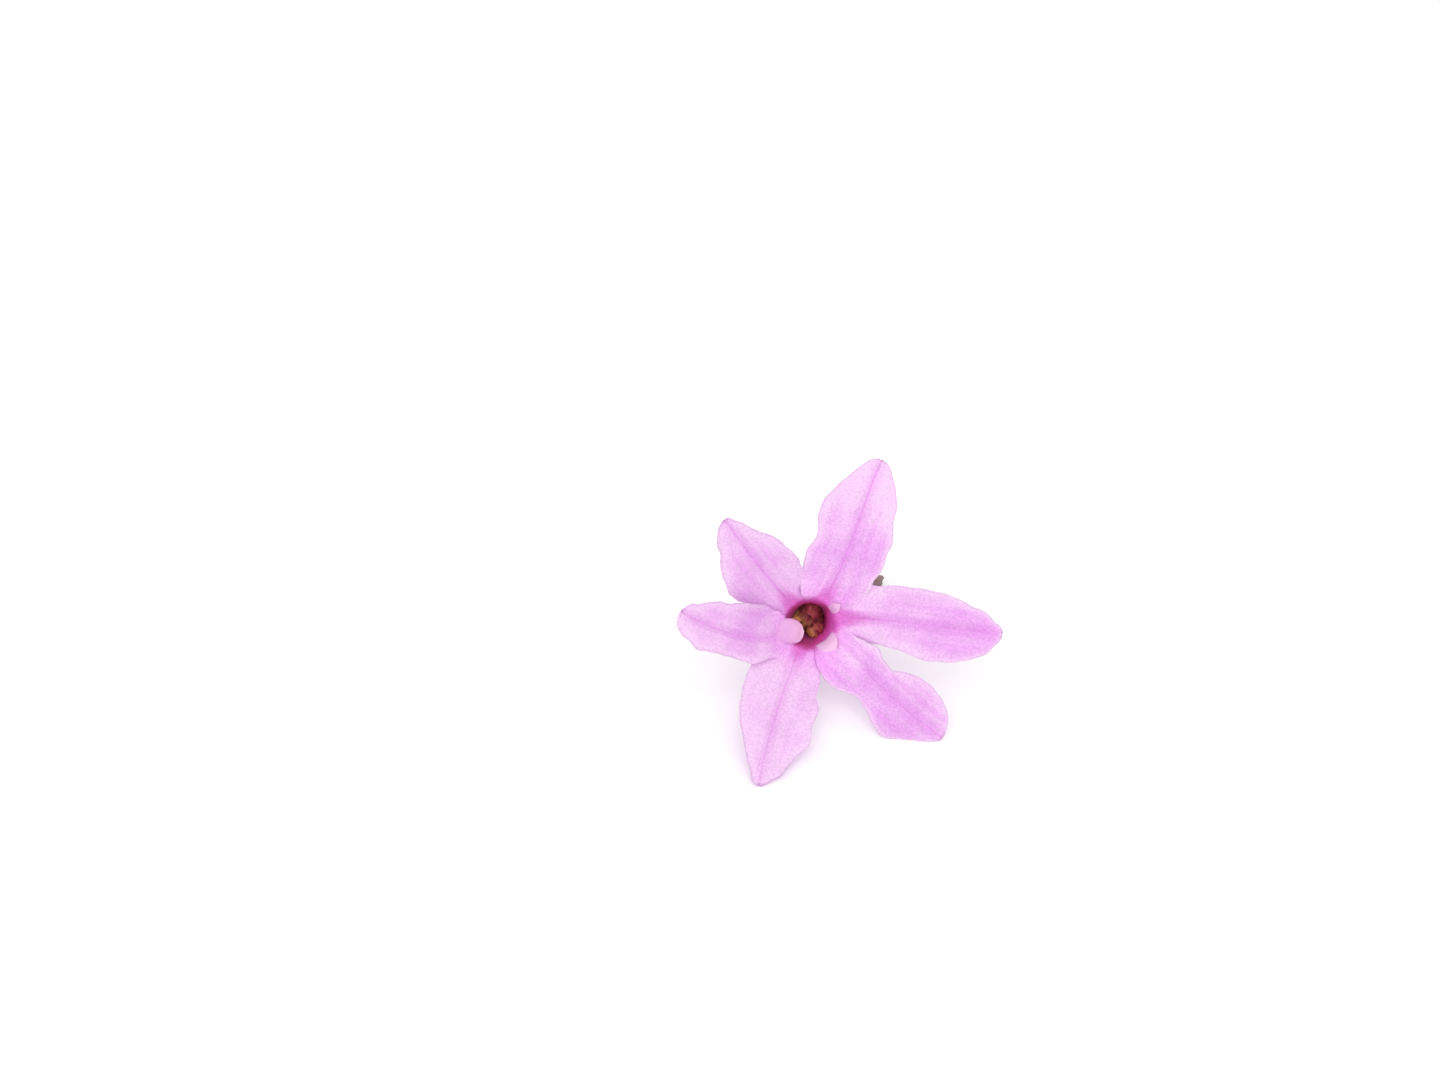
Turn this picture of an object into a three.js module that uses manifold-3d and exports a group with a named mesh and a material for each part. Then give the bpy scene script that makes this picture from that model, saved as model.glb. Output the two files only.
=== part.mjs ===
// A single picked society garlic flower, lying on its side on a flat surface.
// Millimetres, +Z up. The mouth of the flower faces -Y and the picked stalk lies at the back.
//
// The flower is drawn in a frame of its own: the tube runs along Z with the centre of its mouth
// at the origin, and angles are counted counter-clockwise as seen when looking into the mouth.
// It is then tipped forward and set down so that two tepal tips and the tube's closed end touch.

import * as THREE from 'three';
import { mergeVertices } from 'three/addons/utils/BufferGeometryUtils.js';
import Module from 'manifold-3d';

const wasm = await Module();
wasm.setup();

// How the flower lies
const tubeRaise = 25.5;
const mouthHeight = 6.0;

// Tube: length from the mouth to the closed end, and radii of its outside and of its bore.
// endShare, neckShare and boreShare are shares of its length: where it starts to narrow to the
// closed end, where it starts to widen to the neck, and where its bore stops narrowing.
const tubeLength = 12.0;
const endShare = 0.4;
const neckShare = 0.25;
const boreShare = 0.4;
const baseRounding = 1.2;
const baseRadius = 1.45;
const middleRadius = 1.52;
const neckRadius = 1.7;
const neckDepth = 0.9;
const mouthRadius = 2.0;
const mouthLip = 0.15;
const rimRadius = 1.65;
const boreRadius = 0.98;
const boreMouthRadius = 1.28;
const boreMouthDepth = 1.6;
const floorThickness = 0.9;
const floorRounding = 0.4;
const tubeSides = 36;
const ribCount = 6;
const ribDepth = 0.12;
const ribSetOff = 10;

// Tepals: what all six have in common. The outer ones are tuckWidth wider where the inner ones lie
// over them, fully so from tuckFull of their length on, and no more by tuckEnd.
const bladeThickness = 0.6;
const rootDepth = 1.0;
const rootThickness = 0.4;
const footFlare = 25;
const footLead = 2.2;
const footHalfAngle = 32;
const tipHandle = 0.4;
const tipHalfWidth = 0.25;
const footCurlEnd = 0.3;
const cupping = 0.08;
const overlapLift = 0.1;
const coverFull = 0.12;
const coverEnd = 0.55;
const coverFade = 0.2;
const keelDepth = 0.16;
const keelEnd = 0.15;
const tuckWidth = 0.4;
const tuckFull = 0.1;
const tuckEnd = 0.42;
const tuckFade = 0.2;
const rippleHeight = 0.1;
const rippleStart = 0.5;
const ripples = 2.2;
const waistPlace = 0.5;
const waistSpan = 0.25;
const bladeRows = 20;
const bladeColumns = 8;

// Tepals: each one's angles in degrees and lengths in millimetres.
// foot and tip are the angles round the mouth at which it starts and ends, spread its angle from
// the tube's axis, reach the distance of its tip from the centre of the mouth. lean and bow bend
// it sideways near the foot and near the tip, arch lifts it lengthwise, and twist turns the tip.
// Each edge has its half width, where along the tepal it is widest, how quickly it tapers to the
// tip (0.5 is round, 1 is pointed), how late it swells from the foot (1 is even) and the radius of
// its blunt end. Its cover is how far it is lifted over its neighbour near the foot, or tucked under
// it where that is less than zero. Each wave has its place along the tepal, its height and its span.
const tepals = [
  { whorl: 'outer', foot: 10, tip: -1.5, spread: 77, reach: 13.9,
    lean: 0.22, bow: 0.1, arch: 0.5, twist: 0, waist: 0,
    left: { cover: -0.5, width: 2.77, widest: 0.52, taper: 0.78, swell: 0.87, blunt: 0.8,
      waves: [[0.4, -0.15, 0.05], [0.53, -0.17, 0.06], [0.91, 0.18, 0.05]] },
    right: { cover: -0.4, width: 2.47, widest: 0.74, taper: 0.77, swell: 0.89, blunt: 1.2,
      waves: [[0.51, -0.16, 0.05], [0.64, 0.2, 0.05], [0.94, 0.15, 0.04]] } },
  { whorl: 'inner', foot: 70, tip: 68, spread: 77, reach: 13.45,
    lean: -0.44, bow: 0.3, arch: 0.6, twist: 9, waist: 0,
    left: { cover: 0.2, width: 2.83, widest: 0.53, taper: 0.59, swell: 0.3, blunt: 1.4,
      waves: [[0.54, -0.3, 0.06], [0.73, 0.47, 0.09]] },
    right: { cover: 0.15, width: 2.86, widest: 0.47, taper: 0.55, swell: 0.81, blunt: 1.3,
      waves: [[0.27, 0.25, 0.07], [0.4, -0.25, 0.05], [0.54, -0.1, 0.04], [0.71, -0.12, 0.04]] } },
  { whorl: 'outer', foot: 130, tip: 125, spread: 53, reach: 13.2,
    lean: 0.09, bow: 0, arch: 0.3, twist: 0, waist: 0,
    left: { cover: -0.15, width: 2.72, widest: 0.53, taper: 0.7, swell: 0.9, blunt: 1.0,
      waves: [[0.58, 0.16, 0.06], [0.8, -0.25, 0.07]] },
    right: { cover: -0.45, width: 2.51, widest: 0.48, taper: 0.82, swell: 1, blunt: 0.5,
      waves: [[0.84, -0.2, 0.1]] } },
  { whorl: 'inner', foot: 190, tip: 165.5, spread: 47, reach: 12.9,
    lean: 0.55, bow: 0.6, arch: 0.1, twist: -4, waist: 0,
    left: { cover: 0.05, width: 1.71, widest: 0.77, taper: 0.76, swell: 0.53, blunt: 1.5,
      waves: [[0.42, 0.3, 0.1], [0.62, -0.1, 0.06], [0.8, 0.12, 0.05]] },
    right: { cover: 0.05, width: 2.45, widest: 0.46, taper: 0.65, swell: 0.6, blunt: 1.0,
      waves: [[0.72, -0.09, 0.05]] } },
  { whorl: 'outer', foot: 250, tip: 250, spread: 54, reach: 13.4,
    lean: -0.12, bow: -0.48, arch: 0.3, twist: -2, waist: 0,
    left: { cover: -0.35, width: 2.7, widest: 0.56, taper: 0.72, swell: 0.89, blunt: 0.9,
      waves: [[0.49, 0.15, 0.04], [0.69, 0.32, 0.07], [0.91, 0.14, 0.03]] },
    right: { cover: -0.1, width: 2.84, widest: 0.46, taper: 1.03, swell: 0.8, blunt: 0.7,
      waves: [[0.3, 0.3, 0.1], [0.6, 0.12, 0.1]] } },
  { whorl: 'inner', foot: 310, tip: 320.5, spread: 76.5, reach: 12.5,
    lean: 0.53, bow: -0.92, arch: 0.4, twist: 8, waist: 0.39,
    left: { cover: 0.3, width: 2.72, widest: 0.65, taper: 0.41, swell: 1.12, blunt: 1.0,
      waves: [[0.4, 0.3, 0.06], [0.55, -0.18, 0.04], [0.9, 0.1, 0.08]] },
    right: { cover: 0.2, width: 2.73, widest: 0.48, taper: 0.66, swell: 0.3, blunt: 0.8,
      waves: [[0.42, 0.28, 0.1], [0.75, 0.3, 0.09]] } },
];

// Scales at the mouth: a small blunt tongue at the foot of each inner tepal.
// root, rise and tip are [distance from the tube's axis, height above the mouth] of the points that
// draw its curve, so one whose tip is near the axis leans over the throat. It stands aside of its
// foot's direction by that many millimetres. A higher squareness makes its end squarer, on its right
// and on its left.
const scales = [
  { foot: 34, aside: 0, halfWidth: 0.5, squareness: [3, 3],
    root: [1.75, 0.1], rise: [2.0, 0.7], tip: [2.6, 0.95] },
  { foot: 178, aside: 0.5, halfWidth: 0.95, squareness: [3.5, 9],
    root: [2.5, 1.0], rise: [1.5, 1.05], tip: [0.45, 0.75] },
  { foot: 313, aside: 0, halfWidth: 0.8, squareness: [5, 5],
    root: [1.75, 0.1], rise: [1.7, 0.75], tip: [2.45, 1.0] },
];
const scaleTipShare = 0.35;
const scaleThickness = 0.6;
const scaleRootCurl = 0.35;
const scaleCupping = 0.2;
const scaleRows = 6;
const scaleColumns = 6;

// Anthers: stalkless, in two rings of three on the wall of the tube, leaning in at their upper ends
const antherDepths = [0.85, 1.55];
const antherRadii = [0.84, 0.7];
const antherHalfLength = 0.75;
const antherHalfWidth = 0.42;
const antherLean = 0.45;

// Pistil, standing in the tube
const seatGap = 0.3;
const ovaryRadius = 0.62;
const ovaryHeight = 2.5;
const shoulder = 0.1;
const styleRadius = 0.18;
const styleLength = 1.5;
const stigmaRadius = 0.3;
const stigmaHeight = 0.5;
const pistilSides = 14;

// Pedicel, the picked flower stalk
const stalkRadius = 0.42;
const stalkTopRadius = 0.56;
const stalkStart = 1.3;
const stalkTaperEnd = 0.3;
const stalkSweep = new THREE.Vector3(2.7, 13.7, 0.85);
const stalkEnd = new THREE.Vector3(4.86, 12.9, 0.52);
const stalkSides = 12;
const stalkSteps = 12;

const surfaceSlab = 4;
const surfaceReach = 80;

const axis = new THREE.Vector3(0, 0, 1);

function smooth(x) {
  const k = THREE.MathUtils.clamp(x, 0, 1);
  return k * k * (3 - 2 * k);
}

function outward(degrees) {
  const angle = THREE.MathUtils.degToRad(degrees);
  return new THREE.Vector3(Math.cos(angle), Math.sin(angle), 0);
}

function aslant(degreesFromAxis, degreesRound) {
  const angle = THREE.MathUtils.degToRad(degreesFromAxis);
  return outward(degreesRound).multiplyScalar(Math.sin(angle)).addScaledVector(axis, Math.cos(angle));
}

// A closed body with the same triangles on its upper and its lower face.
// upper and lower are rows of points, root first, and each row runs counter-clockwise.
function closedSheet(upper, lower) {
  const rows = upper.length;
  const columns = upper[0].length;
  const points = [...upper.flat(), ...lower.flat()];
  const top = (row, column) => row * columns + column;
  const under = (row, column) => (rows + row) * columns + column;
  const triangles = [];
  const quad = (a, b, c, d) => triangles.push(a, b, c, a, c, d);
  for (let i = 0; i < rows - 1; i += 1) {
    for (let j = 0; j < columns - 1; j += 1) {
      triangles.push(top(i, j), top(i + 1, j), top(i + 1, j + 1));
      triangles.push(top(i, j), top(i + 1, j + 1), top(i, j + 1));
      triangles.push(under(i, j), under(i + 1, j + 1), under(i + 1, j));
      triangles.push(under(i, j), under(i, j + 1), under(i + 1, j + 1));
    }
    const last = columns - 1;
    quad(top(i, 0), under(i, 0), under(i + 1, 0), top(i + 1, 0));
    quad(top(i, last), top(i + 1, last), under(i + 1, last), under(i, last));
  }
  for (let j = 0; j < columns - 1; j += 1) {
    const last = rows - 1;
    quad(top(0, j), top(0, j + 1), under(0, j + 1), under(0, j));
    quad(top(last, j), under(last, j), under(last, j + 1), top(last, j + 1));
  }
  const geometry = new THREE.BufferGeometry();
  geometry.setAttribute('position', new THREE.Float32BufferAttribute(points.flatMap((p) => p.toArray()), 3));
  geometry.setIndex(triangles);
  return geometry;
}

function spineOf(tepal) {
  const start = outward(tepal.foot).multiplyScalar(rimRadius);
  const sideways = axis.clone().cross(outward(tepal.foot));
  const leave = aslant(footFlare, tepal.foot).addScaledVector(sideways, tepal.lean);
  const handle = start.clone().addScaledVector(leave, footLead);
  const tip = aslant(tepal.spread, tepal.tip).multiplyScalar(tepal.reach);
  const along = tip.clone().sub(handle).normalize();
  const across = axis.clone().cross(outward(tepal.tip));
  across.addScaledVector(along, -across.dot(along)).normalize();
  const up = along.clone().cross(across);
  const second = tip.clone().addScaledVector(along, -tipHandle * tip.distanceTo(handle));
  second.addScaledVector(across, tepal.bow).addScaledVector(up, tepal.arch);
  return new THREE.CubicBezierCurve3(start, handle, second, tip);
}

function halfWidth(tepal, edge, u, length) {
  const foot = rimRadius * THREE.MathUtils.degToRad(footHalfAngle);
  const swelling = foot + (edge.width - foot) * smooth(u / edge.widest) ** edge.swell;
  const beyond = Math.max((u - edge.widest) / (1 - edge.widest), 0);
  const tapering = edge.width * (1 - beyond ** 2) ** edge.taper;
  const fromWaist = Math.min(Math.abs(u - waistPlace) / waistSpan, 1);
  const waist = 1 - tepal.waist * 0.5 * (1 + Math.cos(Math.PI * fromWaist));
  const tucked = tepal.whorl === 'outer' ? smooth(u / tuckFull) * smooth((tuckEnd - u) / tuckFade) : 0;
  const wave = ([place, height, span]) => height * Math.exp(-(((u - place) / span) ** 2));
  const waves = edge.waves.map(wave).reduce((sum, height) => sum + height, 0);
  const fromEnd = Math.min((1 - u) * length / edge.blunt, 1);
  const end = edge.blunt * Math.sqrt(1 - (1 - fromEnd) ** 2);
  const width = (u < edge.widest ? swelling : tapering) * waist + waves + tuckWidth * tucked;
  return Math.max(width, end, tipHalfWidth);
}

// One row of points on the upper and the lower face of a blade that curls towards its face.
// placeOf gives, for t from -1 to 1, how far out the point lies and how far it is lifted.
function crossRow(place, side, face, curl, thickness, columns, placeOf) {
  const upper = [];
  const lower = [];
  for (let j = 0; j <= columns; j += 1) {
    const [x, lift] = placeOf(2 * j / columns - 1);
    const middle = place.clone().addScaledVector(side, Math.sin(curl * x) / curl);
    middle.addScaledVector(face, (1 - Math.cos(curl * x)) / curl + lift);
    const normal = face.clone().multiplyScalar(Math.cos(curl * x)).addScaledVector(side, -Math.sin(curl * x));
    upper.push(middle.clone().addScaledVector(normal, thickness / 2));
    lower.push(middle.clone().addScaledVector(normal, -thickness / 2));
  }
  return { upper, lower };
}

function tepalRow(tepal, spine, u) {
  const along = spine.getTangent(u);
  const side = axis.clone().cross(outward(THREE.MathUtils.lerp(tepal.foot, tepal.tip, u)));
  side.addScaledVector(along, -side.dot(along)).normalize();
  side.applyAxisAngle(along, THREE.MathUtils.degToRad(tepal.twist) * smooth(u));
  const face = along.clone().cross(side);
  const curl = THREE.MathUtils.lerp(1 / rimRadius, cupping, smooth(u / footCurlEnd));
  const away = smooth(u / footCurlEnd);
  const layer = tepal.whorl === 'inner' ? overlapLift : -overlapLift;
  const length = spine.getLength();
  const placeOf = (t) => {
    const edge = t < 0 ? tepal.right : tepal.left;
    const x = t * halfWidth(tepal, edge, u, length);
    const cover = edge.cover * Math.abs(t) ** 3 * smooth(u / coverFull) * smooth((coverEnd - u) / coverFade);
    const wave = Math.sin(2 * Math.PI * ripples * u + 2 * t + tepal.foot);
    const ripple = rippleHeight * smooth(u / rippleStart) * t * t * wave;
    const keel = t === 0 ? keelDepth * smooth((1 - u) / keelEnd) : 0;
    return [x, away * (layer + ripple - keel) + cover];
  };
  return crossRow(spine.getPoint(u), side, face, curl, bladeThickness, bladeColumns, placeOf);
}

// The part of a tepal that is one with the wall of the tube
function rootRow(tepal, depth) {
  const slope = Math.tan(THREE.MathUtils.degToRad(footFlare)) * (1 - depth / rootDepth / 2);
  const radius = rimRadius - depth * slope;
  const upper = [];
  const lower = [];
  for (let j = 0; j <= bladeColumns; j += 1) {
    const angle = tepal.foot + (2 * j / bladeColumns - 1) * footHalfAngle;
    upper.push(outward(angle).multiplyScalar(radius - rootThickness / 2).addScaledVector(axis, -depth));
    lower.push(outward(angle).multiplyScalar(radius + rootThickness / 2).addScaledVector(axis, -depth));
  }
  return { upper, lower };
}

function tepalGeometry(tepal) {
  const spine = spineOf(tepal);
  const rows = [rootRow(tepal, rootDepth), rootRow(tepal, rootDepth / 2)];
  for (let i = 0; i <= bladeRows; i += 1) {
    const step = i / bladeRows;
    rows.push(tepalRow(tepal, spine, step / 2 + (1 - Math.cos(Math.PI * step)) / 4));
  }
  return closedSheet(rows.map((row) => row.upper), rows.map((row) => row.lower));
}

function scaleGeometry(scale) {
  const out = outward(scale.foot);
  const side = axis.clone().cross(out);
  const placed = ([radius, height]) => out.clone().multiplyScalar(radius).addScaledVector(axis, height);
  const spine = new THREE.QuadraticBezierCurve3(placed(scale.root), placed(scale.rise), placed(scale.tip));
  const upper = [];
  const lower = [];
  for (let i = 0; i <= scaleRows; i += 1) {
    const u = i / scaleRows;
    const place = spine.getPoint(u).addScaledVector(side, scale.aside);
    const face = spine.getTangent(u).cross(side);
    const curl = THREE.MathUtils.lerp(scaleRootCurl, scaleCupping, smooth(u));
    const placeOf = (t) => {
      const squareness = scale.squareness[t < 0 ? 0 : 1];
      return [t * scale.halfWidth * Math.max(Math.sqrt(1 - u ** squareness), scaleTipShare), 0];
    };
    const row = crossRow(place, side, face, curl, scaleThickness, scaleColumns, placeOf);
    upper.push(row.upper);
    lower.push(row.lower);
  }
  return closedSheet(upper, lower);
}

function antherGeometry(ring, place) {
  const geometry = new THREE.SphereGeometry(1, 8, 6);
  geometry.rotateX(Math.PI / 2);
  geometry.scale(antherHalfWidth, antherHalfWidth, antherHalfLength);
  const out = outward(ribSetOff + 60 * (2 * place + 1 - ring));
  const lengthwise = axis.clone().addScaledVector(out, -antherLean);
  const centre = out.clone().multiplyScalar(antherRadii[ring]).addScaledVector(axis, -antherDepths[ring]);
  const leaning = new THREE.Matrix4().makeBasis(out, axis.clone().cross(out), lengthwise);
  return geometry.applyMatrix4(leaning.setPosition(centre));
}

// Revolves (radius, height) pairs about the tube's axis
function revolved(profile, sides) {
  const points = profile.map(([radius, height]) => new THREE.Vector2(radius, height));
  const geometry = new THREE.LatheGeometry(points, sides);
  geometry.rotateX(Math.PI / 2);
  return geometry;
}

function raiseRibs(geometry) {
  const position = geometry.getAttribute('position');
  for (let i = 0; i < position.count; i += 1) {
    const x = position.getX(i);
    const y = position.getY(i);
    const radius = Math.hypot(x, y);
    const belowMouth = smooth(-position.getZ(i) / neckDepth / 2);
    const onOutside = belowMouth * smooth((radius - boreMouthRadius) / (baseRadius - boreMouthRadius));
    const turn = Math.atan2(y, x) - THREE.MathUtils.degToRad(ribSetOff);
    const ribbed = 1 + onOutside * ribDepth / baseRadius * Math.cos(ribCount * turn);
    position.setXY(i, x * ribbed, y * ribbed);
  }
}

function tubeGeometry() {
  const bottom = -tubeLength;
  const profile = [[0, bottom]];
  const roundingSteps = 4;
  for (let i = 1; i <= roundingSteps; i += 1) {
    const angle = i / roundingSteps * Math.PI / 2;
    profile.push([baseRadius * Math.sin(angle), bottom + baseRounding * (1 - Math.cos(angle))]);
  }
  profile.push([middleRadius, -tubeLength * (1 - endShare)]);
  profile.push([middleRadius, -tubeLength * neckShare]);
  profile.push([neckRadius, -neckDepth]);
  profile.push([mouthRadius, -mouthLip]);
  profile.push([mouthRadius - mouthLip, mouthLip / 2]);
  profile.push([boreMouthRadius, mouthLip / 2]);
  profile.push([(boreMouthRadius + boreRadius) / 2, -boreMouthDepth]);
  profile.push([boreRadius, -tubeLength * boreShare]);
  profile.push([boreRadius, bottom + floorThickness + floorRounding]);
  profile.push([boreRadius - floorRounding, bottom + floorThickness]);
  profile.push([0, bottom + floorThickness]);
  const geometry = revolved(profile, tubeSides);
  raiseRibs(geometry);
  return geometry;
}

function solid(geometry) {
  const shape = geometry.clone();
  shape.deleteAttribute('normal');
  shape.deleteAttribute('uv');
  const merged = mergeVertices(shape, 1e-5);
  const vertProperties = new Float32Array(merged.getAttribute('position').array);
  const triVerts = new Uint32Array(merged.getIndex().array);
  return new wasm.Manifold(new wasm.Mesh({ numProp: 3, vertProperties, triVerts }));
}

function geometryOf(body) {
  const mesh = body.getMesh();
  const geometry = new THREE.BufferGeometry();
  geometry.setAttribute('position', new THREE.Float32BufferAttribute(mesh.vertProperties, 3));
  geometry.setIndex(Array.from(mesh.triVerts));
  return geometry;
}

// From the flower's own frame to where it lies
function lyingDown() {
  const tipped = new THREE.Matrix4().makeRotationX(THREE.MathUtils.degToRad(90 - tubeRaise));
  return tipped.setPosition(0, 0, mouthHeight);
}

// What is below the surface that the flower lies on, in the flower's own frame
function belowSurface() {
  const slab = new THREE.BoxGeometry(surfaceReach, surfaceReach, surfaceSlab);
  slab.translate(0, 0, -surfaceSlab / 2);
  slab.applyMatrix4(lyingDown().invert());
  return slab;
}

function perianthGeometry() {
  const pieces = [tubeGeometry(), ...tepals.map(tepalGeometry), ...scales.map(scaleGeometry)];
  for (const ring of [0, 1]) {
    for (const place of [0, 1, 2]) {
      pieces.push(antherGeometry(ring, place));
    }
  }
  const whole = pieces.map(solid).reduce((body, piece) => body.add(piece));
  return geometryOf(whole.subtract(solid(belowSurface())));
}

function pistilGeometry() {
  const foot = -tubeLength + floorThickness + seatGap;
  const ovaryTop = foot + ovaryHeight;
  const stigma = ovaryTop + styleLength;
  return revolved([
    [0, foot],
    [ovaryRadius * 0.75, foot],
    [ovaryRadius, foot + ovaryHeight / 3],
    [ovaryRadius * 0.85, foot + ovaryHeight * 2 / 3],
    [ovaryRadius / 2, ovaryTop - shoulder],
    [styleRadius, ovaryTop + shoulder],
    [styleRadius, stigma],
    [stigmaRadius, stigma + stigmaHeight / 2],
    [stigmaRadius * 0.7, stigma + stigmaHeight * 0.9],
    [0, stigma + stigmaHeight],
  ], pistilSides);
}

// A round rod along a curve, closed at both ends
function rod(curve, radiusAt, sides, steps) {
  const frames = curve.computeFrenetFrames(steps, false);
  const points = [curve.getPointAt(0)];
  const triangles = [];
  const ring = (step, turn) => 1 + step * sides + turn % sides;
  for (let i = 0; i <= steps; i += 1) {
    const centre = curve.getPointAt(i / steps);
    for (let j = 0; j < sides; j += 1) {
      const angle = 2 * Math.PI * j / sides;
      const arm = frames.normals[i].clone().multiplyScalar(Math.cos(angle));
      arm.addScaledVector(frames.binormals[i], Math.sin(angle));
      points.push(centre.clone().addScaledVector(arm, radiusAt(i / steps)));
    }
  }
  points.push(curve.getPointAt(1));
  for (let j = 0; j < sides; j += 1) {
    triangles.push(0, ring(0, j + 1), ring(0, j));
    triangles.push(points.length - 1, ring(steps, j), ring(steps, j + 1));
    for (let i = 0; i < steps; i += 1) {
      triangles.push(ring(i, j), ring(i, j + 1), ring(i + 1, j + 1));
      triangles.push(ring(i, j), ring(i + 1, j + 1), ring(i + 1, j));
    }
  }
  const geometry = new THREE.BufferGeometry();
  geometry.setAttribute('position', new THREE.Float32BufferAttribute(points.flatMap((p) => p.toArray()), 3));
  geometry.setIndex(triangles);
  return geometry;
}

// The stalk is drawn where it lies, on the surface behind the tube's closed end
function pedicelGeometry() {
  const tubeEnd = axis.clone().multiplyScalar(-tubeLength - seatGap).applyMatrix4(lyingDown());
  const backwards = axis.clone().negate().transformDirection(lyingDown());
  const leave = tubeEnd.clone().addScaledVector(backwards, stalkStart);
  const curve = new THREE.CubicBezierCurve3(tubeEnd, leave, stalkSweep, stalkEnd);
  const radiusAt = (u) => THREE.MathUtils.lerp(stalkTopRadius, stalkRadius, smooth(u / stalkTaperEnd));
  return rod(curve, radiusAt, stalkSides, stalkSteps);
}

const petalFinish = new THREE.MeshStandardMaterial({ color: 0xe3b4ee, roughness: 0.5, metalness: 0 });
const pistilFinish = new THREE.MeshStandardMaterial({ color: 0xb9c88a, roughness: 0.5, metalness: 0 });
const stalkFinish = new THREE.MeshStandardMaterial({ color: 0xa98f74, roughness: 0.6, metalness: 0 });

function named(name, geometry, finish) {
  const mesh = new THREE.Mesh(geometry, finish);
  mesh.name = name;
  return mesh;
}

const flower = new THREE.Group();
flower.add(named('perianth', perianthGeometry(), petalFinish));
flower.add(named('pistil', pistilGeometry(), pistilFinish));
flower.applyMatrix4(lyingDown());

const part = new THREE.Group();
part.add(flower);
part.add(named('pedicel', pedicelGeometry(), stalkFinish));

// The origin is the middle of the patch of surface that the flower covers
part.updateMatrixWorld(true);
const middle = new THREE.Box3().setFromObject(part, true).getCenter(new THREE.Vector3());
part.position.set(-middle.x, -middle.y, 0);

export default part;
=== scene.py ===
# %% [markdown]
# # A picked society garlic flower
#
# One small lilac flower lies on its side on a white surface. Its slim tube points away from us and
# six petals open out of its mouth. The solid model gives the sizes and the places. This file gives
# the flower its thin petals, its colours and its light. Lengths are written in millimetres, as the
# flower would be measured, and turned into metres where a mesh is made.

# %% Load the solid model
from math import cos, exp, log, pi, radians, sin, sqrt

import bmesh
import bpy
from mathutils import Matrix, Vector, noise


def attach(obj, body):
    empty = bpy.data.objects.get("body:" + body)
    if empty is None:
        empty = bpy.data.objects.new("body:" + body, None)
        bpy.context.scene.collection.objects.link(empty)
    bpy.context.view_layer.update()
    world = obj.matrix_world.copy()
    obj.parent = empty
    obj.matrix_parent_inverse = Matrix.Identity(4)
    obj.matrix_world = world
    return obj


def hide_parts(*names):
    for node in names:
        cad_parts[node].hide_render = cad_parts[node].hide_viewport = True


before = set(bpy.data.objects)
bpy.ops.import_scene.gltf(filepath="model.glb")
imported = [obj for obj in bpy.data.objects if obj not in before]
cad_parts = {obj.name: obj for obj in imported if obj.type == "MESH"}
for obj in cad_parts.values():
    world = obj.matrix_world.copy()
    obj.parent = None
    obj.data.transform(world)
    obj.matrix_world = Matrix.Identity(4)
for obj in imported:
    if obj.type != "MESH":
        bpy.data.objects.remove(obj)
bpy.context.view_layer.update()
MM = 0.001

# %% [markdown]
# ## Where the flower lies
#
# A flower is easiest to draw in its own frame: the tube runs along Z, the middle of its mouth is
# the origin, and angles run counter-clockwise as we look into the mouth. One matrix then lays it
# down as the solid model has it, tipped forward with its mouth 6 mm above the surface.

# %% The flower's own frame
tube_raise = radians(25.5)
mouth_centre = Vector((-2.001, -0.941, 6.0))
lying = Matrix.Translation(mouth_centre) @ Matrix.Rotation(pi / 2 - tube_raise, 4, "X")
axis = Vector((0, 0, 1))


def outward(degrees):
    """The direction away from the tube's axis at an angle round the mouth."""
    return Vector((cos(radians(degrees)), sin(radians(degrees)), 0))


def aslant(from_axis, round_mouth):
    return outward(round_mouth) * sin(radians(from_axis)) + axis * cos(radians(from_axis))


def smooth(x):
    """0 below 0, 1 above 1, and a soft S between them."""
    k = min(max(x, 0), 1)
    return k * k * (3 - 2 * k)


def blend(a, b, share):
    return a + (b - a) * share


print("the tube points along", (lying.to_3x3() @ axis).to_tuple(2))

# %% [markdown]
# ## The camera
#
# The photograph looks down on the flower from 35 degrees with a long lens, so things further away
# hardly shrink. The lens is worked out from the scale: 14 pixels to a millimetre at the mouth, seen
# from 380 mm. The flower sits right of the middle of the picture, so the camera is moved sideways
# and up by as many millimetres, and keeps looking straight ahead.

# %% Camera
image_width, image_height = 1440, 1080
mouth_pixel = Vector((810, 622))
pixels_per_mm = 14
camera_distance = 380
camera_elevation = radians(35)
sensor_width = 36

ahead = Vector((0, cos(camera_elevation), -sin(camera_elevation)))
picture_up = Vector((0, sin(camera_elevation), cos(camera_elevation)))
picture_right = Vector((1, 0, 0))
aside = (mouth_pixel - Vector((image_width, image_height)) / 2) / pixels_per_mm

camera = bpy.data.objects.new("camera", bpy.data.cameras.new("camera"))
camera.location = (
    mouth_centre - ahead * camera_distance - picture_right * aside.x + picture_up * aside.y
) * MM
camera.rotation_euler = (pi / 2 - camera_elevation, 0, 0)
camera.data.sensor_width = sensor_width
camera.data.lens = camera_distance * pixels_per_mm * sensor_width / image_width
camera.data.clip_start = 0.01
bpy.context.collection.objects.link(camera)
bpy.context.scene.camera = camera
print("lens, mm:", camera.data.lens)

# %% [markdown]
# ## One helper for all the meshes
#
# Every piece here is a grid of points that is bent into shape, so one small class collects points
# and faces and makes the object. It also keeps values for the colouring, such as how far a point
# is from the petal's edge. They are stored on the mesh as attributes, which a shader reads
# anywhere on the surface. Nothing may sink into the surface that the flower rests on, so points
# that would are lifted by a soft stop, as a limp petal edge is.

# %% Mesh helper
floor_gap = 0.01
floor_softness = 0.08
floor_reach = 20
crease_angle = radians(70)


def set_down(point):
    """Softly stops a point, in millimetres, just above the surface."""
    above = (point.z - floor_gap) / floor_softness
    if above < floor_reach:
        above = log(1 + exp(above))
    return Vector((point.x, point.y, floor_gap + above * floor_softness))


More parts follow.
